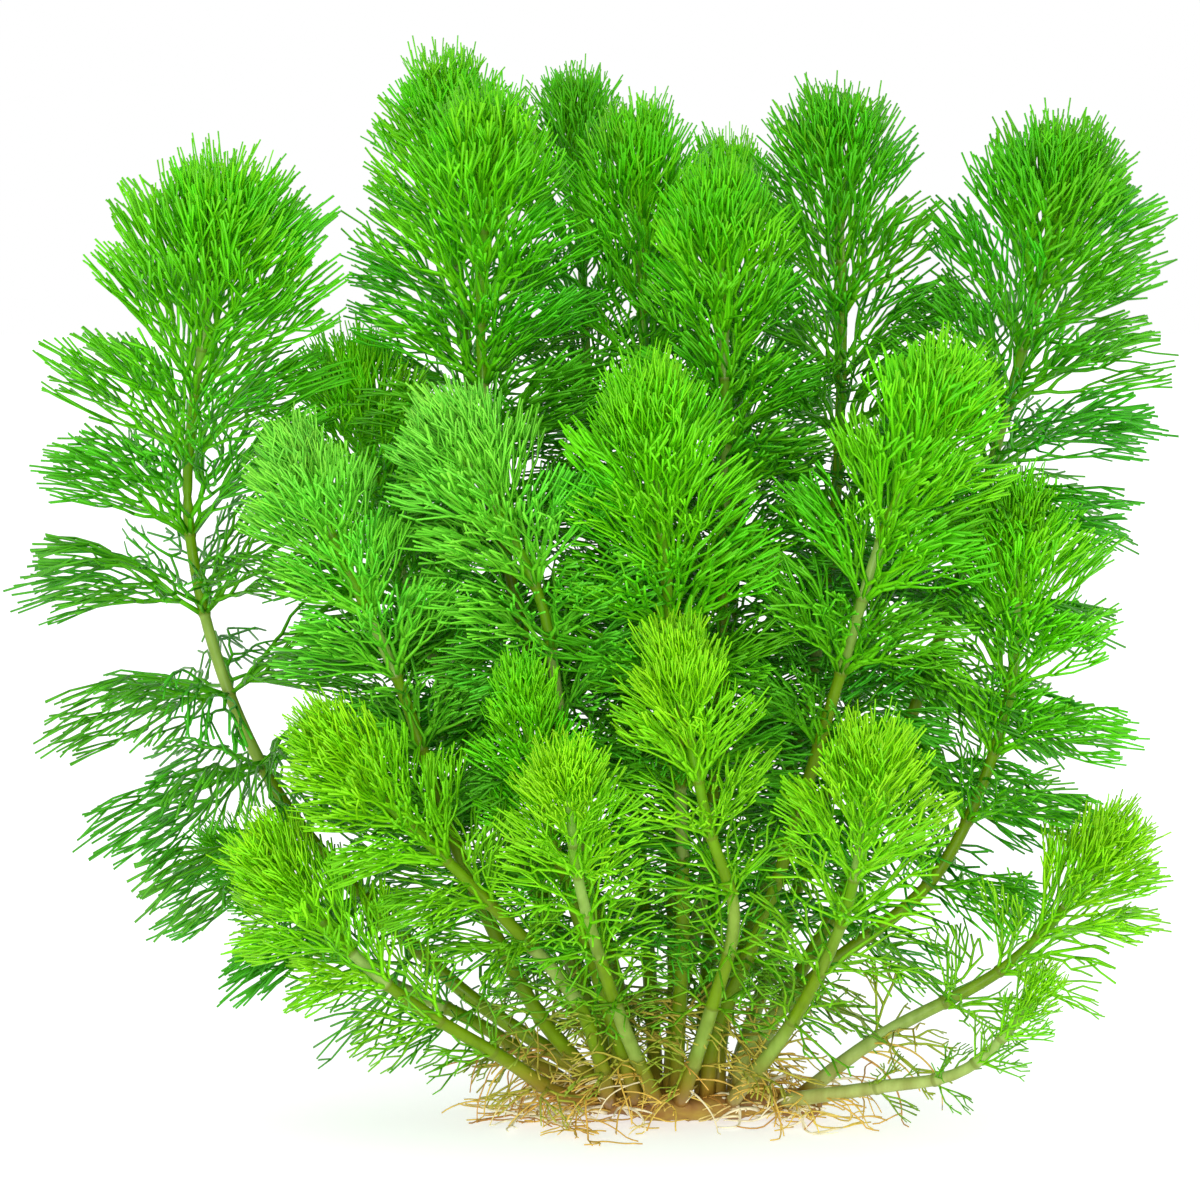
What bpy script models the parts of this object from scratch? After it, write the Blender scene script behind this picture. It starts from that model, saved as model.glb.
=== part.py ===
"""A dwarf giant ambulia: leafy shoots that rise from one short rhizome with its roots.

X runs to the right, Y to the back and Z up. The rhizome's flat underside lies at Z = 0.
"""

import math
from collections import namedtuple

import bmesh
import bpy
from mathutils import Vector

MM = 0.001  # every size below is in millimetres

# Rhizome: a rounded bar that lies along X
CROWN_LEFT = -9.0
CROWN_RIGHT = 27.0
CROWN_RADIUS = 5.6
CROWN_WAIST = 5.2
CROWN_AXIS_HEIGHT = 4.0
CROWN_SIDES = 12

# Stems
STEM_GAP = 0.5
STEM_BASE_RADIUS = 1.5
STEM_TIP_RADIUS = 0.9
STEM_STATIONS = (0.0, 0.03, 0.15, 0.29, 0.43, 0.57, 0.71, 0.86, 1.0)
CURVE_STEPS = 12

# Leaf brushes
LOBES = 5
BORE_SIDES = 5
BORE_CLEARANCE = 1.0
WALL = 1.1
NEIGHBOUR_GAP = 1.6
HEAD_SHARE = 0.68
CREST_SHARE = 0.5
VALLEY_SHARE = 0.76

# Roots
ROOT_GAP = 0.5
ROOT_THICKNESS = 1.5
ROOT_TIP_THICKNESS = 0.8

# root: place along the crown and turn from upright towards the back, in degrees
# path: points that the stem passes, the last one being its tip
# reach: how far the lower leaves stand out; leafy: the stem station where they begin
Shoot = namedtuple("Shoot", "root path reach leafy tiers")
SHOOTS = (
    # Tall shoots of the back rows
    Shoot((-13, 20), ((-40, 5, 27), (-73, 6, 64), (-88, 5, 112), (-83, 4, 163)), 33, 4, 5),
    Shoot((-5, 20), ((-14, 8, 50), (-28, 11, 105), (-33, 12, 145), (-32, 12, 178)), 31, 4, 5),
    Shoot((-4, 60), ((-17, 24, 60), (-34, 36, 125), (-40, 41, 187)), 27, 4, 4),
    Shoot((0, 60), ((-4, 31, 60), (-12, 51, 125), (-15, 60, 186)), 22, 4, 4),
    Shoot((4, 60), ((3, 22, 60), (-1, 33, 120), (-3, 37, 178)), 26, 4, 4),
    Shoot((9, 60), ((13, 36, 60), (17, 54, 120), (15, 60, 172)), 24, 4, 4),
    Shoot((3, 20), ((10, 6, 50), (13, 8, 105), (13, 8, 145), (12, 8, 166)), 25, 4, 4),
    Shoot((12, 20), ((22, 14, 48), (33, 23, 98), (36, 26, 145), (35, 27, 179)), 27, 4, 5),
    Shoot((20, 20), ((36, 12, 42), (56, 16, 95), (68, 17, 138), (76, 16, 171)), 32, 4, 5),
    # Middle row
    Shoot((-9, 20), ((-27, 14, 50), (-46, 21, 95), (-57, 23, 133)), 24, 4, 4),
    Shoot((-12, -25), ((-24, -9, 25), (-38, -15, 56), (-48, -18, 86), (-64, -19, 122)), 24, 4, 4),
    Shoot((-7, -25), ((-12, -10, 40), (-18, -15, 80), (-22, -17, 102), (-34, -18, 126)), 24, 4, 4),
    Shoot((4, -25), ((5, -11, 45), (3, -18, 90), (-1, -22, 130)), 26, 4, 4),
    Shoot((10, -25), ((22, -9, 45), (34, -14, 86), (42, -15, 113), (51, -15, 134)), 26, 4, 4),
    Shoot((16, -20), ((29, -3, 27), (53, 0, 47), (66, 1, 78), (68, 1, 108)), 27, 4, 4),
    # Low front shoots
    Shoot((-4, -70), ((-11, -16, 30), (-20, -28, 60), (-24, -33, 82)), 19, 5, 3),
    Shoot((5, -75), ((10, -20, 24), (14, -33, 44), (9, -40, 62), (4, -42, 87)), 21, 5, 3),
    Shoot((0, -80), ((-7, -22, 24), (-14, -42, 50), (-16, -52, 70)), 18, 5, 3),
    Shoot((-9, -75), ((-15, -18, 26), (-34, -29, 49), (-57, -35, 73)), 20, 5, 3),
    Shoot((-14, -75), ((-29, -16, 15), (-50, -24, 30), (-68, -28, 50)), 24, 5, 3),
    Shoot((15, -75), ((25, -20, 22), (34, -34, 44), (38, -41, 69)), 21, 5, 3),
    Shoot((31, -20), ((44, -5, 18), (66, -8, 31), (84, -12, 51)), 21, 5, 3),
    Shoot((25, -80), ((41, -15, 9), (57, -24, 14), (69, -29, 28)), 16, 5, 3),
    # Shoots that lean out behind
    Shoot((-13, 80), ((-34, 15, 16), (-58, 21, 27), (-80, 22, 46)), 22, 5, 3),
    Shoot((-8, 80), ((-22, 31, 40), (-38, 50, 80), (-48, 61, 117)), 23, 4, 4),
    Shoot((15, 80), ((28, 31, 40), (42, 50, 82), (50, 61, 120)), 24, 4, 4),
    Shoot((4, 85), ((5, 38, 25), (5, 60, 50), (4, 70, 82)), 22, 5, 3),
)

LEAF_GREEN = (0.09, 0.42, 0.03, 1.0)
LEAF_LIME = (0.20, 0.60, 0.03, 1.0)
STEM_OLIVE = (0.27, 0.36, 0.06, 1.0)
CROWN_BROWN = (0.38, 0.24, 0.09, 1.0)
ROOT_TAN = (0.62, 0.45, 0.22, 1.0)


def clear_scene():
    for obj in list(bpy.data.objects):
        bpy.data.objects.remove(obj, do_unlink=True)


def make_material(name, colour, roughness):
    material = bpy.data.materials.new(name)
    material.use_nodes = True
    shader = material.node_tree.nodes["Principled BSDF"]
    shader.inputs["Base Color"].default_value = colour
    shader.inputs["Roughness"].default_value = roughness
    shader.inputs["Metallic"].default_value = 0.0
    return material


def object_of(name, bm, colour, roughness):
    """Turns a bmesh in millimetres into an object in metres."""
    bmesh.ops.recalc_face_normals(bm, faces=bm.faces[:])
    bmesh.ops.scale(bm, vec=(MM, MM, MM), verts=bm.verts[:])
    mesh = bpy.data.meshes.new(name)
    bm.to_mesh(mesh)
    bm.free()
    mesh.shade_smooth()
    obj = bpy.data.objects.new(name, mesh)
    bpy.context.scene.collection.objects.link(obj)
    mesh.materials.append(make_material(name, colour, roughness))
    return obj


def crown_socket(place, turn):
    """A point on the crown's skin and the direction that leads straight out of it."""
    centre = Vector((min(max(place, CROWN_LEFT), CROWN_RIGHT), 0.0, CROWN_AXIS_HEIGHT))
    along = (place - centre.x) / CROWN_RADIUS
    across = math.sqrt(1.0 - along * along)
    turn = math.radians(turn)
    out = Vector((along, across * math.sin(turn), across * math.cos(turn)))
    return centre + out * CROWN_RADIUS, out


def stem_line(shoot):
    """A smooth line from the crown through the shoot's points, as closely spaced points."""
    base, out = crown_socket(*shoot.root)
    knots = [base + out * STEM_GAP] + [Vector(p) for p in shoot.path]
    slopes = [out * (knots[1] - knots[0]).length * 0.8]
    for before, after in zip(knots, knots[2:]):
        slopes.append((after - before) * 0.5)
    slopes.append((knots[-1] - knots[-2]) * 0.8 + Vector((0.0, 0.0, 4.0)))
    line = []
    for i in range(len(knots) - 1):
        for step in range(CURVE_STEPS):
            t = step / CURVE_STEPS
            line.append(
                knots[i] * (2 * t**3 - 3 * t**2 + 1)
                + slopes[i] * (t**3 - 2 * t**2 + t)
                + knots[i + 1] * (3 * t**2 - 2 * t**3)
                + slopes[i + 1] * (t**3 - t**2)
            )
    line.append(knots[-1])
    return line


def walk(line, distance):
    """The point this far along a line of points, and the direction there."""
    for start, end in zip(line, line[1:]):
        step = (end - start).length
        if distance <= step or end is line[-1]:
            return start + (end - start) * (distance / step), (end - start) / step
        distance -= step


def length_of(line):
    return sum((end - start).length for start, end in zip(line, line[1:]))


def stem_radius(share):
    return STEM_BASE_RADIUS + (STEM_TIP_RADIUS - STEM_BASE_RADIUS) * share


def add_stem(name, line):
    data = bpy.data.curves.new(name, "CURVE")
    data.dimensions = "3D"
    data.bevel_depth = MM
    data.bevel_resolution = 1
    data.use_fill_caps = True
    data.materials.append(make_material(name, STEM_OLIVE, 0.45))
    spline = data.splines.new("POLY")
    spline.points.add(len(STEM_STATIONS) - 1)
    length = length_of(line)
    for point, share in zip(spline.points, STEM_STATIONS):
        place = walk(line, share * length)[0] * MM
        point.co = (place.x, place.y, place.z, 1.0)
        point.radius = stem_radius(share)
    obj = bpy.data.objects.new(name, data)
    bpy.context.scene.collection.objects.link(obj)


def distance_to(line, point):
    """How far a point is from the nearest place on a line of points."""
    nearest = 1e9
    for start, end in zip(line, line[1:]):
        span = end - start
        share = min(max((point - start).dot(span) / span.length_squared, 0.0), 1.0)
        nearest = min(nearest, (start + span * share - point).length)
    return nearest


def room_for(centre, direction, wanted, least, neighbours):
    """The widest radius up to the wanted one that stays nearer this stem than any other."""
    radius = wanted
    for neighbour in neighbours:
        if distance_to(neighbour, centre) > 2.0 * radius + NEIGHBOUR_GAP:
            continue
        low, high = least, radius
        if distance_to(neighbour, centre + direction * high) >= high + NEIGHBOUR_GAP:
            continue
        for _ in range(7):
            middle = 0.5 * (low + high)
            if distance_to(neighbour, centre + direction * middle) >= middle + NEIGHBOUR_GAP:
                low = middle
            else:
                high = middle
        radius = low
    return radius


def brush_profile(shoot, length):
    """Rings of a leaf brush from its foot up: (height, radius, share of the radius in valleys, droop)."""
    head = shoot.reach * HEAD_SHARE
    dome = head * 0.9
    spacing = (length - dome) / shoot.tiers
    rings = []
    for tier in range(shoot.tiers):
        up = tier / max(shoot.tiers - 1, 1)
        radius = shoot.reach + (head - shoot.reach) * up**2
        if tier == 0:
            radius *= 0.9
        notch = 0.32 if tier == 0 else 0.6
        droop = 0.45 * spacing * (1.0 - up)
        rings.append((tier * spacing, notch * radius, 1.0, 0.0))
        rings.append(((tier + 0.8) * spacing, radius, VALLEY_SHARE, droop))
    rings.append((length - 0.45 * dome, 0.9 * head, 0.88, 0.0))
    rings.append((length, 0.4 * head, 0.9, 0.0))
    return rings


def ring_of(bm, centre, direction, radii, drops, turn):
    """A closed loop of edges round a stem, one vertex for each radius."""
    side = Vector((0.0, 1.0, 0.0)).cross(direction).normalized()
    front = direction.cross(side)
    verts = []
    for i, (radius, drop) in enumerate(zip(radii, drops)):
        angle = turn + 2.0 * math.pi * i / len(radii)
        outward = side * math.cos(angle) + front * math.sin(angle)
        verts.append(bm.verts.new(centre + outward * radius - direction * drop))
    return [bm.edges.new((a, b)) for a, b in zip(verts, verts[1:] + verts[:1])]


def close_foot(bm, bore, outer):
    """Joins the bore's mouth to the brush's lowest ring, which has twice as many edges."""
    for i, mouth in enumerate(bore):
        first, second = outer[2 * i], outer[2 * i + 1]
        bm.faces.new((mouth.verts[0], first.verts[0], first.verts[1]))
        bm.faces.new((mouth.verts[0], first.verts[1], mouth.verts[1]))
        bm.faces.new((mouth.verts[1], second.verts[0], second.verts[1]))


def outer_ring(bm, centre, direction, ring, turn, least, neighbours):
    height, radius, valley, droop = ring
    side = Vector((0.0, 1.0, 0.0)).cross(direction).normalized()
    front = direction.cross(side)
    radii = []
    drops = []
    for i in range(2 * LOBES):
        angle = turn + math.pi * i / LOBES
        outward = side * math.cos(angle) + front * math.sin(angle)
        wanted = radius * (1.0 if i % 2 == 0 else valley)
        drop = droop if i % 2 == 0 else 0.4 * droop
        room = room_for(centre - direction * drop, outward, wanted, least, neighbours)
        radii.append(max(room, least))
        drops.append(drop)
    return ring_of(bm, centre, direction, radii, drops, turn)


def add_leaves(name, shoot, line, neighbours, colour):
    """A tiered brush of leaves with a domed top, round a blind bore that holds the stem."""
    bm = bmesh.new()
    stem = length_of(line[:-1])
    stations = STEM_STATIONS[shoot.leafy:]
    foot = stations[0] * stem
    least = stem_radius(stations[0]) + BORE_CLEARANCE + WALL

    bore = []
    for share in stations:
        extra = BORE_CLEARANCE if share == 1.0 else 0.0
        centre, direction = walk(line, share * stem + extra)
        radius = (stem_radius(share) + BORE_CLEARANCE) / math.cos(math.pi / BORE_SIDES)
        bore.append(
            ring_of(bm, centre, direction, [radius] * BORE_SIDES, [0.0] * BORE_SIDES, 0.0)
        )
    for lower, upper in zip(bore, bore[1:]):
        bmesh.ops.bridge_loops(bm, edges=lower + upper)
    bmesh.ops.contextual_create(bm, geom=bore[-1])

    outer = []
    for i, ring in enumerate(brush_profile(shoot, length_of(line) - foot)):
        centre, direction = walk(line, foot + ring[0])
        turn = math.pi / LOBES * (i // 2 % 2)
        outer.append(outer_ring(bm, centre, direction, ring, turn, least, neighbours))
    close_foot(bm, bore[0], outer[0])
    for lower, upper in zip(outer, outer[1:]):
        bmesh.ops.bridge_loops(bm, edges=lower + upper)
    bmesh.ops.contextual_create(bm, geom=outer[-1])
    object_of(name, bm, colour, 0.5)


def add_crown():
    """The rhizome: a bar with rounded ends and slight waists, flat where it lies."""
    profile = []
    for step in range(4):
        angle = math.radians(90.0 * step / 3)
        profile.append((CROWN_LEFT - CROWN_RADIUS * math.cos(angle), CROWN_RADIUS * math.sin(angle)))
    spread = CROWN_RIGHT - CROWN_LEFT
    for share, radius in ((0.2, CROWN_WAIST), (0.4, CROWN_RADIUS), (0.6, CROWN_WAIST), (0.8, CROWN_RADIUS)):
        profile.append((CROWN_LEFT + share * spread, radius))
    for step in range(4):
        angle = math.radians(90.0 * step / 3)
        profile.append((CROWN_RIGHT + CROWN_RADIUS * math.sin(angle), CROWN_RADIUS * math.cos(angle)))
    bm = bmesh.new()
    verts = [bm.verts.new((x, 0.0, max(r, 0.0))) for x, r in profile]
    edges = [bm.edges.new(pair) for pair in zip(verts, verts[1:])]
    bmesh.ops.spin(
        bm,
        geom=verts + edges,
        axis=(1.0, 0.0, 0.0),
        cent=(0.0, 0.0, 0.0),
        steps=CROWN_SIDES,
        angle=2.0 * math.pi,
        use_merge=True,
    )
    bmesh.ops.remove_doubles(bm, verts=bm.verts[:], dist=0.01)
    for vert in bm.verts:
        vert.co.z = max(vert.co.z + CROWN_AXIS_HEIGHT, 0.0)
    object_of("crown", bm, CROWN_BROWN, 0.6)


def add_root_tuft(name, inner, outer):
    """A flat mat of root threads on the ground, from its edge by the crown to its fingers."""
    bm = bmesh.new()
    verts = [bm.verts.new((x, y, 0.0)) for x, y in inner + outer]
    bottom = bm.faces.new(verts)
    raised = bmesh.ops.extrude_face_region(bm, geom=[bottom], use_keep_orig=True)
    top = [item for item in raised["geom"] if isinstance(item, bmesh.types.BMVert)]
    tips = {(round(x, 3), round(y, 3)) for x, y in outer}
    for vert in top:
        at_tip = (round(vert.co.x, 3), round(vert.co.y, 3)) in tips
        vert.co.z = ROOT_TIP_THICKNESS if at_tip else ROOT_THICKNESS
    object_of(name, bm, ROOT_TAN, 0.7)


def end_tuft(name, centre_x, towards, fingers):
    """Roots that fan out from one rounded end of the crown."""
    inner_radius = CROWN_RADIUS + ROOT_GAP
    first, last = towards - 68.0, towards + 68.0
    inner = []
    outer = []
    for i in range(7):
        angle = math.radians(last - (last - first) * i / 6)
        inner.append((centre_x + inner_radius * math.cos(angle), inner_radius * math.sin(angle)))
    count = 2 * len(fingers) + 1
    for i in range(count):
        angle = math.radians(first + (last - first) * i / (count - 1))
        reach = inner_radius + (fingers[i // 2] if i % 2 else 5.0)
        outer.append((centre_x + reach * math.cos(angle), reach * math.sin(angle)))
    add_root_tuft(name, inner, outer)


def side_tuft(name, side, fingers):
    """Roots that reach out along one long side of the crown."""
    edge = CROWN_RADIUS + ROOT_GAP
    first, last = CROWN_LEFT + 1.5, CROWN_RIGHT - 1.5
    middle = 0.5 * (first + last)
    inner = [(first, side * edge), (last, side * edge)]
    outer = []
    count = 2 * len(fingers) + 1
    for i in range(count):
        x = last + (first - last) * i / (count - 1)
        reach = edge + (fingers[i // 2] if i % 2 else 4.0)
        spread = 1.0 + 0.012 * (reach - edge)
        outer.append((middle + (x - middle) * spread, side * reach))
    add_root_tuft(name, inner, outer)


def main():
    clear_scene()
    add_crown()
    end_tuft("roots_left", CROWN_LEFT, 180.0, (15.0, 25.0, 21.0, 30.0, 14.0))
    end_tuft("roots_right", CROWN_RIGHT, 0.0, (11.0, 18.0, 14.0, 21.0, 10.0))
    side_tuft("roots_front", -1.0, (9.0, 15.0, 11.0, 17.0, 8.0))
    side_tuft("roots_back", 1.0, (13.0, 24.0, 18.0, 27.0, 12.0))

    lines = [stem_line(shoot) for shoot in SHOOTS]
    crests = []
    for shoot, line in zip(SHOOTS, lines):
        rise = (line[-1] - line[-2]).normalized() * shoot.reach * CREST_SHARE
        crests.append(line + [line[-1] + rise])
    for i, shoot in enumerate(SHOOTS):
        number = f"{i + 1:02d}"
        add_stem("stem_" + number, lines[i])
        neighbours = crests[:i] + crests[i + 1:]
        low = shoot.path[-1][2] < 100
        colour = LEAF_LIME if low else LEAF_GREEN
        add_leaves("leaves_" + number, shoot, crests[i], neighbours, colour)


main()
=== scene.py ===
import math
from collections import namedtuple

import bpy
import numpy as np
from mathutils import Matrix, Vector


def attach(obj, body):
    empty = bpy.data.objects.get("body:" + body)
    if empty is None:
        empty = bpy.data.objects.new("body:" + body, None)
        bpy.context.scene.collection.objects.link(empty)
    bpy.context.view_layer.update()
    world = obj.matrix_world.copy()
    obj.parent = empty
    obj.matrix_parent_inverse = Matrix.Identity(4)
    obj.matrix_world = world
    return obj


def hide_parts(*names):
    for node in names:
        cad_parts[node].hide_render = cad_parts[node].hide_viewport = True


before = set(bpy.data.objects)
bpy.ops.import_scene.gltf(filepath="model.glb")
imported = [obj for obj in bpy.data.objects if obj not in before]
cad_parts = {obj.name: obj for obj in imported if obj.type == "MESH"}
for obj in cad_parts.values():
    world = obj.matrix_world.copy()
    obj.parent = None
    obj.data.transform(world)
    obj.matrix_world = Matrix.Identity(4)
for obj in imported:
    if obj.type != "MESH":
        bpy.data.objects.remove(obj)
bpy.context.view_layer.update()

MM = 0.001  # sizes below are in millimetres, X to the right, Y to the back, Z up

# Rhizome
CROWN_LEFT = -9.0
CROWN_RIGHT = 27.0
CROWN_SOCKET_RADIUS = 5.6
CROWN_AXIS_HEIGHT = 4.0
CROWN_RADIUS = 2.5
CROWN_CENTRE_HEIGHT = 3.1
CROWN_SIDES = 20
CROWN_END = 4.6
CROWN_RINGS = 90
CROWN_KNOBS = 26

# Stems
STEM_GAP = 0.5
STEM_BASE_RADIUS = 1.5
STEM_TIP_RADIUS = 0.85
STEM_SIDES = 10
STEM_SINK = 5.0
STATION_STEP = 3.0
RING_ROOM = 1.3
RING_PROFILE = ((-0.9, 0.0), (-0.3, 1.0), (0.2, 1.0), (0.9, 0.0))
RING_RISE = 0.17
CURVE_STEPS = 16

# Leaves
STRAND_SIDES = 3
LEAF_LENGTH = 30.0
PETIOLE_RADIUS = 0.46
STRAND_RADIUS = 0.23
LACE_RADIUS = 0.26
FIRST_FORK = 0.12  # share of a leaf's length below its first fork
LONG_TAIL = 0.26  # share of a leaf's length over which a last strand bends
LEAF_SHAPES = 5  # of each division
BUD_SHARE = 0.68  # length of the youngest leaves as a share of a full one
BUD_TIPS = 18
LACE_TIPS = 12
STEEPEST_HANG = -0.42  # upward part of the direction of a hanging leaf's end
FLOOR_CLEARANCE = 0.3  # leaves come no nearer to the ground
FLOOR_SOFTNESS = 1.8  # and lie down over this height above that

# Whorls: depth of the first below the tip, least gap, what the gap grows by and how soon
FIRST_WHORL = 2.0
WHORL_GAP = 1.8
WHORL_GAP_GROWTH = 13.5
WHORL_GAP_DEPTH = 20.0

# Distances below a shoot's tip at which its leaves change
BUD_DEPTH = 6.0
BUD_GROWTH = 16.0
HEAD_DEPTH = 32.0
OPENING_DEPTH = 34.0
DROOP_START = 55.0
DROOP_END = 100.0
OLD_DEPTH = 75.0

# Distances along a stem from its base: no whorl is below the first, leaves are wilted
# up to the second and sound from the third
LOWEST_WHORL = 7.0
WILTED_TO = 10.0
SOUND_FROM = 25.0

# A leaf's lean off the stem in degrees: closed in the bud, what opening adds,
# the most that a bushy shoot multiplies that by, and what drooping adds
Lean = namedtuple("Lean", "closed opening widest drooping")
FOOT_LEAN = Lean(6.0, 42.0, 1.1, 28.0)
END_LEAN = Lean(11.0, 82.0, 1.2, 36.0)

# root: place along the crown and turn from upright towards the back, in degrees
# path: points that the stem passes, the last one being its tip
# leaf: length of a full leaf; bare: height below which the leaves grow small and few
# tone: which leaf colours the shoot has; tips: how finely a full leaf is divided
# wide: how soon and how far the whorls open, 1 being usual
Shoot = namedtuple("Shoot", "root path leaf bare tone tips wide", defaults=(1.0,))
SHOOTS = (
    # Tall shoots of the back rows
    Shoot((-13, 20), ((-40, 5, 27), (-73, 6, 64), (-88, 5, 112), (-83, 4, 163)), 37, 52, "green", 43),
    Shoot((-5, 20), ((-14, 8, 50), (-28, 11, 105), (-33, 12, 145), (-32, 12, 178)), 34, 100, "green", 29),
    Shoot((-4, 60), ((-17, 24, 60), (-34, 36, 125), (-40, 41, 187)), 30, 105, "green", 25),
    Shoot((0, 60), ((-4, 31, 60), (-12, 51, 125), (-15, 60, 186)), 27, 115, "deep", 22),
    Shoot((4, 60), ((3, 22, 60), (-1, 33, 120), (-3, 37, 178)), 29, 115, "green", 24),
    Shoot((9, 60), ((13, 36, 60), (17, 54, 120), (15, 60, 172)), 28, 115, "green", 22),
    Shoot((3, 20), ((10, 6, 50), (13, 8, 105), (13, 8, 145), (12, 8, 166)), 30, 105, "green", 30),
    Shoot((12, 20), ((22, 14, 48), (33, 23, 98), (36, 26, 145), (35, 27, 179)), 32, 95, "deep", 28),
    Shoot((20, 20), ((36, 12, 42), (56, 16, 95), (68, 17, 138), (76, 16, 171)), 36, 70, "deep", 34),
    # Middle row
    Shoot((-9, 20), ((-27, 14, 50), (-46, 21, 95), (-57, 23, 133)), 31, 76, "fresh", 27, 1.1),
    Shoot((-12, -25), ((-24, -9, 25), (-38, -15, 56), (-48, -18, 86), (-64, -19, 122)), 26, 80, "pale", 30),
    Shoot(
        (-7, -25),
        ((-12, -10, 40), (-18, -15, 80), (-22, -17, 102), (-34, -18, 126)),
        30,
        85,
        "pale",
        31,
        1.1,
    ),
    Shoot((4, -25), ((5, -11, 45), (3, -18, 90), (-1, -22, 130)), 30, 90, "fresh", 31),
    Shoot((10, -25), ((22, -9, 45), (34, -14, 86), (42, -15, 113), (51, -15, 134)), 30, 85, "fresh", 31),
    Shoot((16, -20), ((29, -3, 27), (53, 0, 47), (66, 1, 78), (68, 1, 108)), 29, 56, "fresh", 32, 1.15),
    # Low front shoots
    Shoot((-4, -70), ((-11, -16, 30), (-20, -28, 60), (-24, -33, 82)), 22, 84, "fresh", 26),
    Shoot((5, -75), ((10, -20, 24), (14, -33, 44), (9, -40, 62), (4, -42, 87)), 25, 80, "lime", 29, 1.15),
    Shoot((0, -80), ((-7, -22, 24), (-14, -42, 50), (-16, -52, 68)), 25, 70, "lime", 28, 1.25),
    Shoot((-9, -75), ((-15, -18, 26), (-34, -29, 49), (-57, -35, 73)), 25, 50, "lime", 29),
    Shoot((-14, -75), ((-29, -16, 15), (-50, -24, 30), (-68, -28, 50)), 26, 36, "lime", 30),
    Shoot((15, -75), ((25, -20, 22), (34, -34, 44), (38, -41, 67)), 30, 66, "lime", 31, 1.35),
    Shoot((31, -20), ((44, -5, 18), (66, -8, 31), (82, -12, 50)), 26, 40, "lime", 27, 1.25),
    Shoot((25, -80), ((41, -15, 9), (57, -24, 14), (69, -29, 28)), 17, 27, "lime", 16, 1.1),
    # Shoots that lean out behind
    Shoot((-13, 80), ((-34, 15, 16), (-58, 21, 27), (-80, 22, 46)), 24, 60, "green", 23),
    Shoot((-8, 80), ((-22, 31, 40), (-38, 50, 80), (-48, 61, 117)), 26, 70, "green", 24),
    Shoot((15, 80), ((28, 31, 40), (42, 50, 82), (50, 61, 120)), 27, 70, "fresh", 24),
    Shoot((4, 85), ((5, 38, 25), (5, 60, 50), (4, 70, 82)), 24, 60, "lime", 24),
)

# Young leaf, grown leaf and old leaf of each tone, in linear colour
LEAF_TONES = {
    "lime": ((0.276, 0.79, 0.004), (0.216, 0.72, 0.003), (0.134, 0.34, 0.003)),
    "fresh": ((0.172, 0.74, 0.004), (0.138, 0.73, 0.003), (0.088, 0.45, 0.003)),
    "pale": ((0.230, 0.79, 0.060), (0.172, 0.79, 0.032), (0.092, 0.50, 0.007)),
    "green": ((0.140, 0.69, 0.004), (0.106, 0.65, 0.003), (0.070, 0.42, 0.003)),
    "deep": ((0.092, 0.56, 0.003), (0.074, 0.53, 0.003), (0.056, 0.41, 0.003)),
}

# Other colours, in linear colour; a list of tones gives each its place from 0 to 1
LEAF_COOL = (0.055, 0.41, 0.025)
# Pale stalk green, made bright enough to also act as painted light that lifts the shade inside the dense
# heads
LEAF_STALK_AND_FILL = (0.34, 0.94, 0.015)
LEAF_WILTED = (0.62, 0.46, 0.07)
STEM_OLIVE = (0.165, 0.29, 0.003)
STEM_FRESH = (0.13, 0.42, 0.004)
STEM_FOOT = (0.34, 0.165, 0.025)
STEM_PALE = (0.42, 0.55, 0.17)
STEM_RING = (0.12, 0.15, 0.01)
CROWN_TONES = ((0.3, (0.15, 0.055, 0.01)), (0.5, (0.31, 0.15, 0.02)), (0.72, (0.42, 0.29, 0.04)))
ROOT_TONES = (
    (0.0, (0.55, 0.25, 0.05)),
    (0.2, (0.72, 0.45, 0.06)),
    (0.7, (0.85, 0.64, 0.11)),
    (1.0, (0.95, 0.87, 0.62)),
)
WHITE = (1.0, 1.0, 1.0, 1.0)
NOISE_SPAN = (0.3, 0.7)  # where most values of a random pattern lie

# Roots: crown place, middle direction in degrees from the right towards the back,
# spread either side, number of threads, reach, palest tone of the thin threads,
# and the shoots whose feet carry threads as well
RootTuft = namedtuple("RootTuft", "name left right middle spread threads reach palest feet")
ROOT_TUFTS = (
    RootTuft("roots_left", -12.0, -4.0, 180.0, 70.0, 54, 31.0, 0.9, (1, 19, 20, 24)),
    RootTuft("roots_right", 18.0, 30.0, 0.0, 75.0, 42, 23.0, 0.7, (15, 22, 23)),
    RootTuft("roots_front", -12.0, 29.0, 270.0, 84.0, 38, 18.0, 0.95, (16, 17, 18, 21)),
    RootTuft("roots_back", -12.0, 29.0, 90.0, 65.0, 32, 24.0, 0.85, (25, 26, 27)),
)
ROOT_RADIUS = 0.24
THICK_ROOT_RADIUS = 0.45
ROOT_TIP_RADIUS = 0.14
ROOT_STEP = 1.3

# Studio, in metres and watts
FLOOR_SIZE = 8.0
FLOOR_GLOW = 0.62
LAMP_SIZE = 0.6
LAMP_POWER = 12.5
LAMP_PLACE = Vector((-0.1, -1.55, 0.26))
LAMP_TARGET = Vector((0.0, 0.0, 0.1))
CAMERA_TARGET = Vector((-10.5, 0.0, 99.0)) * MM
CAMERA_DISTANCE = 0.99
CAMERA_RISE = 5.0
CAMERA_LENS = 158.0


def unit(vectors):
    return vectors / np.linalg.norm(vectors, axis=-1, keepdims=True)


# Shapes


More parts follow.
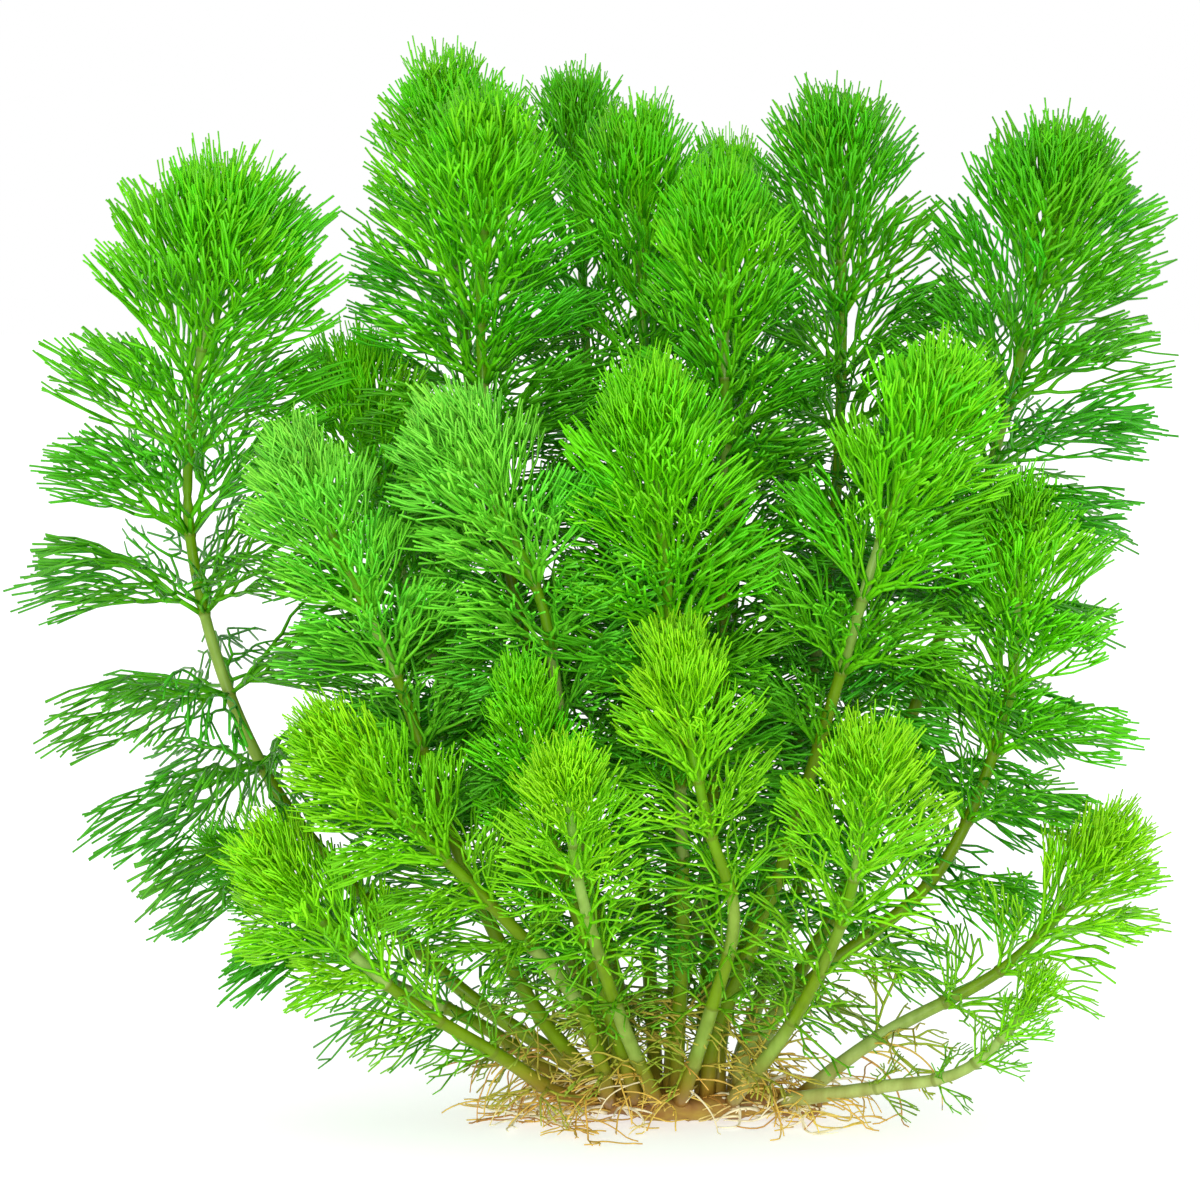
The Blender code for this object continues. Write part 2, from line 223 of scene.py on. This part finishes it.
def mesh_object(name, points, triangles, attributes):
    """A smooth mesh object in metres from points in millimetres."""
    mesh = bpy.data.meshes.new(name)
    mesh.vertices.add(len(points))
    mesh.vertices.foreach_set("co", (points * MM).astype(np.float32).ravel())
    mesh.loops.add(triangles.size)
    mesh.loops.foreach_set("vertex_index", triangles.astype(np.int32).ravel())
    mesh.polygons.add(len(triangles))
    mesh.polygons.foreach_set("loop_start", np.arange(0, triangles.size, 3, dtype=np.int32))
    mesh.update(calc_edges=True)
    for key, values in attributes.items():
        layer = mesh.attributes.new(key, "FLOAT", "POINT")
        layer.data.foreach_set("value", np.asarray(values, np.float32))
    mesh.shade_smooth()
    obj = bpy.data.objects.new(name, mesh)
    bpy.context.scene.collection.objects.link(obj)
    return obj


class Heap:
    """Points, triangles and point values of many small shapes, gathered into one mesh."""

    def __init__(self, *keys):
        self.points = []
        self.triangles = []
        self.values = {key: [] for key in keys}
        self.size = 0

    def add(self, points, triangles, **values):
        self.points.append(points)
        self.triangles.append(triangles + self.size)
        self.size += len(points)
        for key, store in self.values.items():
            store.append(np.broadcast_to(values[key], len(points)))

    def make(self, name):
        values = {key: np.concatenate(store) for key, store in self.values.items()}
        return mesh_object(name, np.concatenate(self.points), np.concatenate(self.triangles), values)


def crown_socket(place, turn):
    """A point on the crown's skin and the direction that leads straight out of it."""
    centre = np.array((min(max(place, CROWN_LEFT), CROWN_RIGHT), 0.0, CROWN_AXIS_HEIGHT))
    along = (place - centre[0]) / CROWN_SOCKET_RADIUS
    across = math.sqrt(1.0 - along * along)
    turn = math.radians(turn)
    out = np.array((along, across * math.sin(turn), across * math.cos(turn)))
    return centre + out * CROWN_SOCKET_RADIUS, out


def stem_line(shoot):
    """A smooth line from the crown through the shoot's points, as closely spaced points."""
    base, out = crown_socket(*shoot.root)
    knots = [base + out * STEM_GAP] + [np.array(p, float) for p in shoot.path]
    slopes = [out * np.linalg.norm(knots[1] - knots[0]) * 0.8]
    for before, after in zip(knots, knots[2:]):
        slopes.append((after - before) * 0.5)
    slopes.append((knots[-1] - knots[-2]) * 0.8 + np.array((0.0, 0.0, 4.0)))
    line = []
    for i in range(len(knots) - 1):
        for step in range(CURVE_STEPS):
            t = step / CURVE_STEPS
            line.append(
                knots[i] * (2 * t**3 - 3 * t**2 + 1)
                + slopes[i] * (t**3 - 2 * t**2 + t)
                + knots[i + 1] * (3 * t**2 - 2 * t**3)
                + slopes[i + 1] * (t**3 - t**2)
            )
    line.append(knots[-1])
    return np.array(line)


class Axis:
    """A stem's centre line, read by the distance from its base."""

    def __init__(self, line):
        self.line = line
        steps = np.linalg.norm(np.diff(line, axis=0), axis=1)
        self.marks = np.concatenate([[0.0], np.cumsum(steps)])
        self.length = self.marks[-1]
        self.slopes = unit(np.gradient(line, axis=0))

    def at(self, distance):
        point = np.array([np.interp(distance, self.marks, self.line[:, k]) for k in range(3)])
        along = np.array([np.interp(distance, self.marks, self.slopes[:, k]) for k in range(3)])
        along = unit(along)
        side = unit(np.cross((0.0, 1.0, 0.0), along))
        return point, along, side, np.cross(along, side)


def tube(centres, radii, sides):
    """Points and triangles of one closed tube. A radius may be one number a ring or one a point."""
    along = unit(np.gradient(centres, axis=0))
    lead = np.array((0.0, 0.0, 1.0)) if abs(along[0][2]) < 0.8 else np.array((1.0, 0.0, 0.0))
    side = unit(np.cross(along, lead))
    front = np.cross(along, side)
    angles = 2.0 * math.pi * np.arange(sides) / sides
    radii = np.reshape(radii, (len(centres), -1, 1))
    ring = side[:, None, :] * np.cos(angles)[None, :, None]
    ring = ring + front[:, None, :] * np.sin(angles)[None, :, None]
    points = (centres[:, None, :] + ring * radii).reshape(-1, 3)
    return points, tube_triangles(len(centres), sides)


def tube_triangles(rings, sides):
    triangles = []
    for ring in range(rings - 1):
        for i in range(sides):
            a = ring * sides + i
            b = ring * sides + (i + 1) % sides
            triangles += [(a, b, b + sides), (a, b + sides, a + sides)]
    last = (rings - 1) * sides
    for i in range(1, sides - 1):
        triangles.append((0, i + 1, i))
        triangles.append((last, last + i, last + i + 1))
    return np.array(triangles)


# Leaves


# width and depth: how far the strands spread, as shares of the leaf's length
# last: where along the leaf the last forks would be; wander: how crooked the forks are
# tail: the least length of a last strand; radius: of a strand; wave: how far it snakes
LeafKind = namedtuple("LeafKind", "width depth last wander tail radius wave")
FAN = LeafKind(0.30, 0.15, 0.82, 0.05, 0.12, STRAND_RADIUS, 0.022)
LACE = LeafKind(0.40, 0.25, 0.92, 0.09, 0.09, LACE_RADIUS, 0.022)
LeafShape = namedtuple("LeafShape", "centres offsets triangles wave")


def leaf_strands(rng, tips, kind):
    """Strands of a divided leaf of length 1, each a list of places (along, across, above) and widths.

    The leaf forks again and again. At each fork one side carries its strand on and the
    other begins a new one, so that there are as many strands as tips.
    """
    across = np.linspace(-1.0, 1.0, tips) + rng.uniform(-0.8, 0.8, tips) / tips
    above = rng.uniform(-1.0, 1.0, tips) * np.sqrt(np.clip(1.0 - across**2, 0.1, 1.0))
    lanes = np.stack([across, above], axis=1)
    ends = 1.0 - 0.24 * np.linalg.norm(lanes, axis=1) ** 1.8 + rng.uniform(-0.11, 0.04, tips)
    strands = []

    def place(along, lane):
        flare = 0.2 * along + 0.8 * math.sin(0.5 * math.pi * min(along / 0.7, 1.0))
        return (along, kind.width * lane[0] * flare, kind.depth * lane[1] * flare)

    def grow(strand, group, fork, source=None):
        if len(group) == 1:
            end = max(ends[group[0]], fork + kind.tail)
            if end - fork > LONG_TAIL:
                bow = rng.uniform(-1.0, 1.0, 2) * 0.08
                strand.append((place(0.5 * (fork + end), lanes[group[0]] + bow), 1.0))
            strand.append((place(end, lanes[group[0]]), 1.0))
            return
        share = 1.0 - math.log(len(group)) / math.log(tips)
        along = FIRST_FORK + (kind.last - FIRST_FORK) * share
        along = max(along + rng.uniform(-0.06, 0.06) * (share + 0.3), fork + 0.035)
        lane = lanes[group].mean(axis=0) + rng.uniform(-1.0, 1.0, 2) * kind.wander * share
        here = (place(along, lane), 1.0 + 1.3 * (1.0 - share) ** 2)
        if source is not None and len(group) > 3:
            knee = fork + 0.45 * (along - fork)
            strand.append((place(knee, source + 0.75 * (lane - source)), here[1]))
        strand.append(here)
        flatness = (kind.width, kind.depth * rng.uniform(0.6, 2.0))
        widest = np.argmax(np.ptp(lanes[group], axis=0) * flatness)
        group = group[np.argsort(lanes[group, widest])]
        middle = max(1, min(len(group) - 1, round(len(group) * rng.uniform(0.34, 0.66))))
        halves = [group[:middle], group[middle:]]
        newer = [here]
        strands.append(newer)
        first = rng.integers(2)
        grow(strand, halves[first], along, lane)
        grow(newer, halves[1 - first], along, lane)

    stalk = [((0.0, 0.0, 0.0), PETIOLE_RADIUS / kind.radius)]
    strands.append(stalk)
    grow(stalk, np.arange(tips), 0.0)
    return strands


def leaf_shape(rng, tips, kind):
    """A divided leaf as tubes: the strands' centre lines at length 1, and offsets at full thickness."""
    heap = Heap()
    centres = []
    for strand in leaf_strands(rng, tips, kind):
        line = np.array([place for place, width in strand])
        widths = np.array([width for place, width in strand]) * kind.radius
        heap.add(*tube(line * LEAF_LENGTH, np.minimum(widths, PETIOLE_RADIUS), STRAND_SIDES))
        centres.append(np.repeat(line, STRAND_SIDES, axis=0))
    centres = np.concatenate(centres)
    offsets = np.concatenate(heap.points) - centres * LEAF_LENGTH
    return LeafShape(centres, offsets, np.concatenate(heap.triangles), kind.wave)


def bent_leaf(shape, length, thick, first, last, roll, sweep, cup, wave):
    """The leaf's points as (outward, upward, sideways), bent from one angle off the stem to another."""
    along, across, above = (shape.centres * length + shape.offsets * thick).T
    above = above + cup * across**2 / length
    across, above = (
        across * math.cos(roll) - above * math.sin(roll),
        across * math.sin(roll) + above * math.cos(roll),
    )
    share = along / length
    ripple = 7.0 * share + 9.0 * across / length + wave
    across = across + sweep * along * share + shape.wave * along * np.sin(ripple)
    above = above + shape.wave * along * np.sin(ripple + wave)
    turn = (last - first) / length
    angle = first + turn * along
    outward = (math.cos(first) - np.cos(angle)) / turn - above * np.cos(angle)
    upward = (np.sin(angle) - math.sin(first)) / turn + above * np.sin(angle)
    return outward, upward, across


def smooth_step(value):
    value = min(max(value, 0.0), 1.0)
    return value * value * (3.0 - 2.0 * value)


def held_up(last, along, away):
    """The angle off the stem at a leaf's end, lessened until the leaf no longer hangs steeply."""
    while last > 0.2 and math.cos(last) * along[2] + math.sin(last) * away[2] < STEEPEST_HANG:
        last -= 0.05
    return last


def whorl_marks(axis, rng):
    """Distances from the stem's tip down to each whorl: crowded at the tip, far apart below."""
    marks = []
    below = FIRST_WHORL
    while below < axis.length - LOWEST_WHORL:
        marks.append(below)
        gap = WHORL_GAP + WHORL_GAP_GROWTH * (1.0 - math.exp(-below / WHORL_GAP_DEPTH))
        below += gap * rng.uniform(0.9, 1.1)
    return marks


def stem_radius(share):
    return STEM_BASE_RADIUS + (STEM_TIP_RADIUS - STEM_BASE_RADIUS) * share


def above_floor(heights):
    """Heights eased so that what would sink into the ground lies on it instead."""
    low = FLOOR_CLEARANCE + FLOOR_SOFTNESS
    eased = FLOOR_CLEARANCE + FLOOR_SOFTNESS * np.exp(np.minimum(heights - low, 0.0) / FLOOR_SOFTNESS)
    return np.where(heights < low, eased, heights)


def leaves_in_whorl(below):
    """How many leaves a whorl has at a distance below the tip, where the shoot is lush."""
    if below < BUD_DEPTH:
        return 7
    if below < HEAD_DEPTH:
        return 8
    return 9


def leaning(lean, bush, opened, droop, play):
    """A leaf's angle off the stem in radians."""
    opening = min(bush, lean.widest) * lean.opening * opened
    return math.radians(lean.closed + opening + lean.drooping * droop + play)


def add_leaves(name, shoot, axis, marks, rng, shapes):
    """All the leaves of a shoot, whorl by whorl from its tip down."""
    heap = Heap("age", "reach", "tone", "wilt")
    bush = shoot.wide * rng.uniform(0.94, 1.08)
    for below in marks:
        centre, along, side, front = axis.at(axis.length - below)
        grown = min(max((below - FIRST_WHORL) / BUD_GROWTH, 0.0), 1.0)
        lush = smooth_step((centre[2] - 5.0) / shoot.bare)
        count = round(leaves_in_whorl(below) * (0.33 + 0.67 * lush))
        turned = rng.uniform(0.0, 2.0 * math.pi)
        opened = 1.0 - math.exp(-((shoot.wide * below / OPENING_DEPTH) ** 1.1))
        droop = smooth_step((below - DROOP_START) / (DROOP_END - DROOP_START))
        wilted = smooth_step((SOUND_FROM - (axis.length - below)) / (SOUND_FROM - WILTED_TO))
        loose = 3.0 + 8.0 * opened + 12.0 * (1.0 - lush)
        for i in range(count):
            azimuth = turned + 2.0 * math.pi * (i + rng.uniform(-0.25, 0.25)) / count
            length = shoot.leaf * (BUD_SHARE + (1.0 - BUD_SHARE) * grown) * (0.5 + 0.5 * lush)
            length = length * rng.uniform(0.88, 1.05)
            first = leaning(FOOT_LEAN, bush, opened, droop, rng.uniform(-loose, loose))
            last = leaning(END_LEAN, bush, opened, droop, rng.uniform(-loose, loose))
            choice = shoot.tips
            if lush < rng.uniform(0.55, 0.85):
                choice = "lace"
            elif below < BUD_DEPTH:
                choice = BUD_TIPS
            shape = shapes[choice][rng.integers(LEAF_SHAPES)]
            away = side * math.cos(azimuth) + front * math.sin(azimuth)
            last = held_up(last, along, away)
            outward, upward, across = bent_leaf(
                shape,
                length,
                (0.84 + 0.16 * grown) * min(math.sqrt(length / LEAF_LENGTH), 1.1),
                first,
                last,
                roll=math.radians(rng.uniform(-1.0, 1.0) * (20.0 + 45.0 * opened)),
                sweep=rng.uniform(-0.15, 0.15),
                cup=rng.uniform(0.2, 1.2),
                wave=rng.uniform(0.0, 6.0),
            )
            sideways = np.cross(along, away)
            outward = outward + 0.7 * stem_radius(1.0 - below / axis.length)
            offset = outward[:, None] * away + upward[:, None] * along + across[:, None] * sideways
            gone = np.linalg.norm(offset, axis=1) / length
            leaf = centre + offset
            leaf[:, 2] -= 0.07 * opened * gone**2 * length
            leaf[:, 2] = above_floor(leaf[:, 2])
            heap.add(
                leaf,
                shape.triangles,
                age=min(max(below / OLD_DEPTH + rng.uniform(-0.08, 0.08), 1.0 - lush, 0.0), 1.0),
                reach=np.clip(gone, 0.0, 1.0),
                tone=rng.uniform(0.0, 1.0),
                wilt=wilted * rng.uniform(0.3, 1.0),
            )
    return heap.make(name)


# Stems


def add_stem(name, axis, whorls, bleached, rng):
    """A round stem with a thin raised ring at each whorl."""
    rings = [axis.length - below for below in whorls if below > BUD_DEPTH]
    stations = [(m, 0.0) for m in np.arange(0.0, axis.length, STATION_STEP)]
    stations = [s for s in stations if all(abs(s[0] - ring) > RING_ROOM for ring in rings)]
    stations.append((axis.length, 0.0))
    for ring in rings:
        stations += [(ring + offset, level) for offset, level in RING_PROFILE]
    stations.sort()
    centres = [axis.line[0] - axis.slopes[0] * STEM_SINK]
    radii = [STEM_BASE_RADIUS * 1.1]
    ringed = [0.0]
    shares = [0.0]
    pales = [0.0]
    pale = 0.0
    for distance, ring in stations:
        if ring == 1.0 and ringed[-1] == 1.0:
            pale = rng.uniform(0.0, 1.0) ** 3
        share = distance / axis.length
        centres.append(axis.at(distance)[0])
        radii.append(stem_radius(share) * (1.0 + RING_RISE * ring))
        ringed.append(ring)
        shares.append(share)
        foot = bleached * smooth_step((30.0 - centres[-1][2]) / 12.0)
        pales.append(max(pale, foot))
    points, triangles = tube(np.array(centres), np.array(radii), STEM_SIDES)
    attributes = {
        "ring": np.repeat(ringed, STEM_SIDES),
        "share": np.repeat(shares, STEM_SIDES),
        "pale": np.repeat(pales, STEM_SIDES),
        "height": points[:, 2],
    }
    return mesh_object(name, points, triangles, attributes)


# Crown and roots


def add_crown(rng):
    """A knobbly creeping rhizome with rings, thinner at its ends."""
    share = np.linspace(0.0, 1.0, CROWN_RINGS)
    centres = np.zeros((CROWN_RINGS, 3))
    centres[:, 0] = CROWN_LEFT - CROWN_END + share * (CROWN_RIGHT - CROWN_LEFT + 2.0 * CROWN_END)
    centres[:, 1] = 0.8 * np.sin(share * 11.0)
    centres[:, 2] = CROWN_CENTRE_HEIGHT + 0.5 * np.sin(share * 8.0 + 1.0)
    ends = np.clip(np.minimum(share, 1.0 - share) / 0.05, 0.0, 1.0)
    thick = CROWN_RADIUS * (0.35 + 0.65 * np.sqrt(1.0 - (1.0 - ends) ** 2))
    rings = 0.10 * np.maximum(np.sin(share * 75.0), 0.0) ** 6
    angles = 2.0 * math.pi * np.arange(CROWN_SIDES) / CROWN_SIDES
    knobs = np.zeros((CROWN_RINGS, CROWN_SIDES))
    for _ in range(CROWN_KNOBS):
        at = rng.uniform(0.03, 0.97)
        turn = rng.uniform(0.0, 2.0 * math.pi)
        size = rng.uniform(0.1, 0.26)
        far = ((share[:, None] - at) / 0.035) ** 2
        far = far + (np.angle(np.exp(1j * (angles[None, :] - turn))) / 0.6) ** 2
        knobs += size * np.exp(-far)
    radii = thick[:, None] * (1.0 + rings[:, None] + knobs)
    points, triangles = tube(centres, radii, CROWN_SIDES)
    points[:, 2] = np.maximum(points[:, 2], 0.0)
    return mesh_object("rhizome", points, triangles, {})


def root_thread(start, heading, rise, length, thick, rng, heap, tone, forks):
    """A wavy thread that sinks to the ground and wanders on over it, with side threads."""
    steps = max(4, round(length / ROOT_STEP))
    point = np.array(start, float)
    centres = [point.copy()]
    turn = 0.0
    for step in range(steps):
        turn = 0.75 * turn + rng.normal(0.0, 0.11)
        heading += turn
        flat = math.cos(rise)
        move = np.array((math.cos(heading) * flat, math.sin(heading) * flat, math.sin(rise)))
        point = point + move * length / steps
        rise = rise - 0.11 if point[2] > 1.5 else 0.5 * rise + 0.5 * rng.uniform(-0.1, 0.3)
        point[2] = max(point[2], 0.3 + 0.5 * thick)
        centres.append(point.copy())
    centres = np.array(centres)
    share = np.linspace(0.0, 1.0, steps + 1)
    radii = thick + (ROOT_TIP_RADIUS - thick) * share
    points, triangles = tube(centres, radii, 5 if thick > 0.4 else 4)
    points[:, 2] = np.maximum(points[:, 2], 0.05)
    heap.add(points, triangles, tone=tone)
    for _ in range(forks):
        at = rng.uniform(0.15, 0.8)
        side = rng.choice((-1.0, 1.0)) * rng.uniform(0.35, 0.8)
        root_thread(
            centres[round(at * steps)],
            heading + side,
            0.05,
            length * rng.uniform(0.25, 0.5),
            max(thick * 0.7, ROOT_TIP_RADIUS),
            rng,
            heap,
            min(max(tone + rng.uniform(-0.1, 0.1), 0.0), 1.0),
            forks=1 if forks > 2 else 0,
        )


def add_roots(tuft, axes, rng):
    """Threads from the rhizome and from the feet of some stems; every sixth one is thick and cream."""
    heap = Heap("tone")
    for i in range(tuft.threads):
        lean = rng.uniform(-1.0, 1.0)
        turn = math.radians(tuft.middle + tuft.spread * math.copysign(math.sqrt(abs(lean)), lean))
        if i % 2:
            foot = axes[tuft.feet[rng.integers(len(tuft.feet))] - 1]
            start = foot.at(rng.uniform(1.0, 12.0))[0]
            rise = rng.uniform(-0.4, 0.5)
        else:
            start = (rng.uniform(tuft.left, tuft.right), math.sin(turn) * 1.6, rng.uniform(1.2, 4.8))
            rise = rng.uniform(-0.1, 0.9)
        thick = ROOT_RADIUS * rng.uniform(0.65, 1.05)
        tone = rng.uniform(0.0, tuft.palest)
        if i % 6 == 0:
            thick = THICK_ROOT_RADIUS
            tone = 1.0
        length = tuft.reach * rng.uniform(0.45, 1.0)
        root_thread(start, turn, rise, length, thick, rng, heap, tone, forks=rng.integers(1, 4))
    return heap.make(tuft.name.replace("roots", "root_threads"))


# Materials


def new_material(name):
    material = bpy.data.materials.new(name)
    material.use_nodes = True
    nodes = material.node_tree.nodes
    return material, nodes, material.node_tree.links, nodes["Principled BSDF"]


def ramp(nodes, links, value, *stops):
    node = nodes.new("ShaderNodeValToRGB")
    elements = node.color_ramp.elements
    while len(elements) < len(stops):
        elements.new(0.5)
    for element, (place, colour) in zip(elements, stops):
        element.position = place
        element.color = (*colour, 1.0)
    links.new(value, node.inputs["Fac"])
    return node.outputs["Color"]


def attribute(nodes, name):
    node = nodes.new("ShaderNodeAttribute")
    node.attribute_name = name
    return node.outputs["Fac"]


def mixed(nodes, links, share, first, second):
    node = nodes.new("ShaderNodeMix")
    node.data_type = "RGBA"
    links.new(share, node.inputs[0])
    for socket, value in ((node.inputs[6], first), (node.inputs[7], second)):
        if isinstance(value, tuple):
            socket.default_value = (*value, 1.0)
        else:
            links.new(value, socket)
    return node.outputs[2]


def noise(nodes, links, scale, detail=3.0, stretch=(1.0, 1.0, 1.0)):
    place = nodes.new("ShaderNodeTexCoord")
    mapping = nodes.new("ShaderNodeMapping")
    mapping.inputs["Scale"].default_value = stretch
    texture = nodes.new("ShaderNodeTexNoise")
    texture.inputs["Scale"].default_value = scale
    texture.inputs["Detail"].default_value = detail
    links.new(place.outputs["Object"], mapping.inputs["Vector"])
    links.new(mapping.outputs["Vector"], texture.inputs["Vector"])
    return texture.outputs["Fac"]


def ranged(nodes, links, value, low, high, source=(0.0, 1.0)):
    node = nodes.new("ShaderNodeMapRange")
    node.inputs["From Min"].default_value = source[0]
    node.inputs["From Max"].default_value = source[1]
    node.inputs["To Min"].default_value = low
    node.inputs["To Max"].default_value = high
    links.new(value, node.inputs["Value"])
    return node.outputs["Result"]


def times(nodes, links, first, second):
    node = nodes.new("ShaderNodeMath")
    node.operation = "MULTIPLY"
    links.new(first, node.inputs[0])
    links.new(second, node.inputs[1])
    return node.outputs["Value"]


def leaf_material(tone):
    """Fresh green that deepens with age, with a paler stalk and a different shade on each leaf; the stalk
    colour near the stem is also painted light that lifts the shade inside the heads.
    """
    young, grown, old = LEAF_TONES[tone]
    material, nodes, links, shader = new_material("leaf_" + tone)
    age = attribute(nodes, "age")
    reach = attribute(nodes, "reach")
    colour = ramp(nodes, links, age, (0.0, young), (0.4, grown), (1.0, old))
    cooler = ranged(nodes, links, times(nodes, links, age, reach), 0.0, 0.35, (0.2, 0.9))
    colour = mixed(nodes, links, cooler, colour, LEAF_COOL)
    shade = nodes.new("ShaderNodeHueSaturation")
    links.new(colour, shade.inputs["Color"])
    links.new(ranged(nodes, links, attribute(nodes, "tone"), 0.488, 0.507), shade.inputs["Hue"])
    mottle = noise(nodes, links, 160.0, 1.0)
    links.new(ranged(nodes, links, mottle, 0.78, 1.15, NOISE_SPAN), shade.inputs["Value"])
    # Partly painted light: each leaf's real paler stalk is brightened past its own green, so that the shade
    # deep inside the heads is lifted
    stalk = tuple(0.5 * c + 0.5 * y for c, y in zip(grown, LEAF_STALK_AND_FILL))
    near_stem_fill = ranged(nodes, links, reach, 0.95, 0.0, (0.05, 0.65))
    fading = ranged(nodes, links, age, 1.0, 0.3, (0.1, 0.8))
    colour = mixed(nodes, links, times(nodes, links, near_stem_fill, fading), shade.outputs["Color"], stalk)
    colour = mixed(nodes, links, attribute(nodes, "wilt"), colour, LEAF_WILTED)
    links.new(colour, shader.inputs["Base Color"])
    links.new(ranged(nodes, links, mottle, 0.32, 0.5, NOISE_SPAN), shader.inputs["Roughness"])
    shader.inputs["Specular IOR Level"].default_value = 0.22
    return material


def stem_material():
    """Brown at the foot, olive along the stem and fresh green at the tip, with paler internodes."""
    material, nodes, links, shader = new_material("stem_green")
    share = attribute(nodes, "share")
    colour = ramp(nodes, links, share, (0.0, STEM_OLIVE), (0.55, STEM_OLIVE), (1.0, STEM_FRESH))
    streaks = noise(nodes, links, 420.0, 4.0, (1.0, 1.0, 0.3))
    low = ranged(nodes, links, attribute(nodes, "height"), 0.95, 0.0, (4.0, 16.0))
    colour = mixed(nodes, links, low, colour, STEM_FOOT)
    pale = ranged(nodes, links, attribute(nodes, "pale"), 0.0, 1.0, (0.3, 1.0))
    patch = ranged(nodes, links, streaks, 0.45, 0.75, NOISE_SPAN)
    colour = mixed(nodes, links, times(nodes, links, pale, patch), colour, STEM_PALE)
    shade = nodes.new("ShaderNodeHueSaturation")
    links.new(colour, shade.inputs["Color"])
    links.new(ranged(nodes, links, streaks, 0.84, 1.1, NOISE_SPAN), shade.inputs["Value"])
    ring = ranged(nodes, links, attribute(nodes, "ring"), 0.0, 0.5, (0.5, 1.0))
    colour = mixed(nodes, links, ring, shade.outputs["Color"], STEM_RING)
    links.new(colour, shader.inputs["Base Color"])
    links.new(ranged(nodes, links, streaks, 0.3, 0.5, NOISE_SPAN), shader.inputs["Roughness"])
    shader.inputs["Specular IOR Level"].default_value = 0.2
    return material


def crown_material():
    """Brown bark, mottled along the rhizome, with a fine rough grain."""
    material, nodes, links, shader = new_material("crown_brown")
    grain = noise(nodes, links, 320.0, 5.0, (0.5, 1.0, 1.0))
    colour = ramp(nodes, links, grain, *CROWN_TONES)
    links.new(colour, shader.inputs["Base Color"])
    links.new(ranged(nodes, links, grain, 0.5, 0.75, NOISE_SPAN), shader.inputs["Roughness"])
    bump = nodes.new("ShaderNodeBump")
    bump.inputs["Strength"].default_value = 0.5
    bump.inputs["Distance"].default_value = 0.0004
    links.new(grain, bump.inputs["Height"])
    links.new(bump.outputs["Normal"], shader.inputs["Normal"])
    return material


def root_material():
    """Threads that run from red-brown through straw to cream."""
    material, nodes, links, shader = new_material("root_tan")
    colour = ramp(nodes, links, attribute(nodes, "tone"), *ROOT_TONES)
    grain = noise(nodes, links, 400.0, 3.0)
    shade = nodes.new("ShaderNodeHueSaturation")
    links.new(colour, shade.inputs["Color"])
    links.new(ranged(nodes, links, grain, 0.75, 1.15, NOISE_SPAN), shade.inputs["Value"])
    links.new(shade.outputs["Color"], shader.inputs["Base Color"])
    links.new(ranged(nodes, links, grain, 0.45, 0.65, NOISE_SPAN), shader.inputs["Roughness"])
    return material


# Stage


def add_floor():
    bpy.ops.mesh.primitive_plane_add(size=FLOOR_SIZE)
    floor = bpy.context.object
    floor.name = "floor"
    material, nodes, links, shader = new_material("floor_white")
    speckle = noise(nodes, links, 3.0)
    colour = ramp(nodes, links, speckle, (0.3, (0.60, 0.60, 0.60)), (0.7, (0.62, 0.62, 0.62)))
    links.new(colour, shader.inputs["Base Color"])
    shader.inputs["Roughness"].default_value = 0.9
    shader.inputs["Emission Color"].default_value = WHITE
    shader.inputs["Emission Strength"].default_value = FLOOR_GLOW
    floor.data.materials.append(material)


def add_light():
    """White light from all round and one large lamp in front."""
    world = bpy.context.scene.world or bpy.data.worlds.new("World")
    bpy.context.scene.world = world
    world.use_nodes = True
    background = world.node_tree.nodes["Background"]
    background.inputs["Color"].default_value = WHITE
    background.inputs["Strength"].default_value = 1.0
    lamp = bpy.data.lights.new("key_light", "AREA")
    lamp.size = LAMP_SIZE
    lamp.energy = LAMP_POWER
    obj = bpy.data.objects.new("key_light", lamp)
    obj.location = LAMP_PLACE
    obj.rotation_euler = (LAMP_TARGET - LAMP_PLACE).to_track_quat("-Z", "Y").to_euler()
    bpy.context.scene.collection.objects.link(obj)


def add_camera():
    data = bpy.data.cameras.new("camera")
    data.sensor_width = 36.0
    data.lens = CAMERA_LENS
    camera = bpy.data.objects.new("camera", data)
    rise = math.radians(CAMERA_RISE)
    back = Vector((0.0, -math.cos(rise), math.sin(rise)))
    camera.location = CAMERA_TARGET + back * CAMERA_DISTANCE
    camera.rotation_euler = (-back).to_track_quat("-Z", "Y").to_euler()
    bpy.context.scene.collection.objects.link(camera)
    bpy.context.scene.camera = camera


def finish_piece(obj, material, node):
    obj.data.materials.append(material)
    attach(obj, "root")
    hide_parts(node)


def leaf_shapes(rng):
    """Every division of leaf that the shoots use, each in several shapes."""
    divisions = sorted({shoot.tips for shoot in SHOOTS} | {BUD_TIPS})
    shapes = {tips: [leaf_shape(rng, tips, FAN) for _ in range(LEAF_SHAPES)] for tips in divisions}
    shapes["lace"] = [leaf_shape(rng, LACE_TIPS, LACE) for _ in range(LEAF_SHAPES)]
    return shapes


def add_shoots(axes, shapes):
    """The leaves and the stem of each shoot."""
    leaf_materials = {tone: leaf_material(tone) for tone in LEAF_TONES}
    stem_green = stem_material()
    for i, (shoot, axis) in enumerate(zip(SHOOTS, axes)):
        number = f"{i + 1:02d}"
        rng = np.random.default_rng(100 + i)
        marks = whorl_marks(axis, rng)
        leaves = add_leaves("foliage_" + number, shoot, axis, marks, rng, shapes)
        finish_piece(leaves, leaf_materials[shoot.tone], "leaves_" + number)
        bleached = smooth_step((shoot.root[0] - 8.0) / 12.0)
        stem = add_stem("shoot_" + number, axis, marks, bleached, rng)
        finish_piece(stem, stem_green, "stem_" + number)


def main():
    bpy.context.scene.view_settings.view_transform = "Standard"
    rng = np.random.default_rng(11)
    shapes = leaf_shapes(rng)
    axes = [Axis(stem_line(shoot)) for shoot in SHOOTS]
    add_shoots(axes, shapes)
    finish_piece(add_crown(rng), crown_material(), "crown")
    root_tan = root_material()
    for tuft in ROOT_TUFTS:
        finish_piece(add_roots(tuft, axes, rng), root_tan, tuft.name)
    add_floor()
    add_light()
    add_camera()


main()
